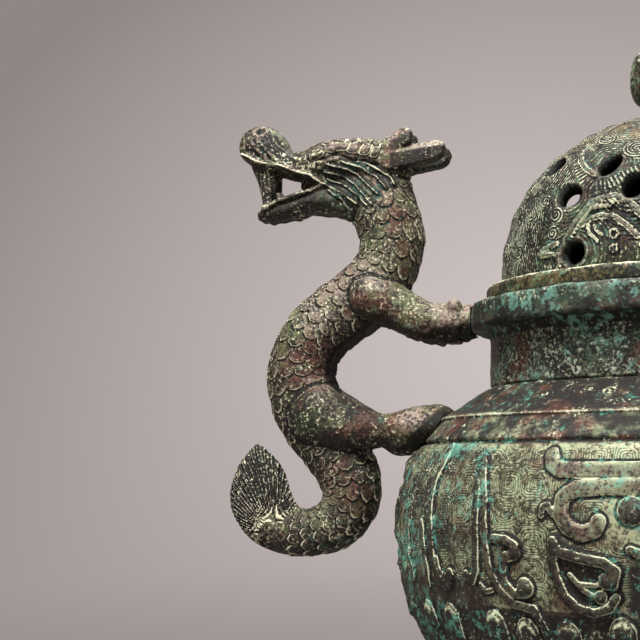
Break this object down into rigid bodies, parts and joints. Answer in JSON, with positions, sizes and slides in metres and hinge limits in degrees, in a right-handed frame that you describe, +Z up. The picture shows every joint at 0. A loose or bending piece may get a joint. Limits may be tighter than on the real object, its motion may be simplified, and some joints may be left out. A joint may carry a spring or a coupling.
{
  "type": "tripod censer",
  "caption": "Round-bellied bronze incense burner on three paw legs, with riveted dragon handles and a pierced dome lid that lifts off to take the incense.",
  "frame": {"origin": "on the floor under the vessel's axis", "axes": "+Z up along the vessel's axis, +X towards the right handle, -Y towards the front"},
  "size_m": [0.3442, 0.2118, 0.3166],
  "materials": {
    "bowl_bronze": "patinated bronze, green and brown",
    "neck_bronze": "patinated bronze, dark with green and red-brown spots",
    "lid_bronze": "patinated bronze, green with pale deposits",
    "dragon_bronze": "patinated bronze, brown with pale green deposits",
    "leg_bronze": "patinated bronze, green and brown",
    "rivet_bronze": "patinated bronze, brown"
  },
  "bodies": {
    "vessel": {"bowl": "bowl_bronze", "neck_collar": "neck_bronze", "dragon_handle_left": "dragon_bronze", "dragon_handle_right": "dragon_bronze", "rim_rivet_left": "rivet_bronze", "rim_rivet_right": "rivet_bronze", "shoulder_rivet_left": "rivet_bronze", "shoulder_rivet_right": "rivet_bronze", "leg_rear": "leg_bronze", "leg_front_left": "leg_bronze", "leg_front_right": "leg_bronze", "leg_rivet_rear": "rivet_bronze", "leg_rivet_front_left": "rivet_bronze", "leg_rivet_front_right": "rivet_bronze"},
    "cover": {"lid": "lid_bronze", "finial_bud": "lid_bronze", "finial_rove": "rivet_bronze"}
  },
  "joints": [
    {"name": "lid_lift", "type": "slide", "parent": "vessel", "child": "cover", "axis": [0, 0, 1], "range_m": [0, 0.16]}
  ]
}
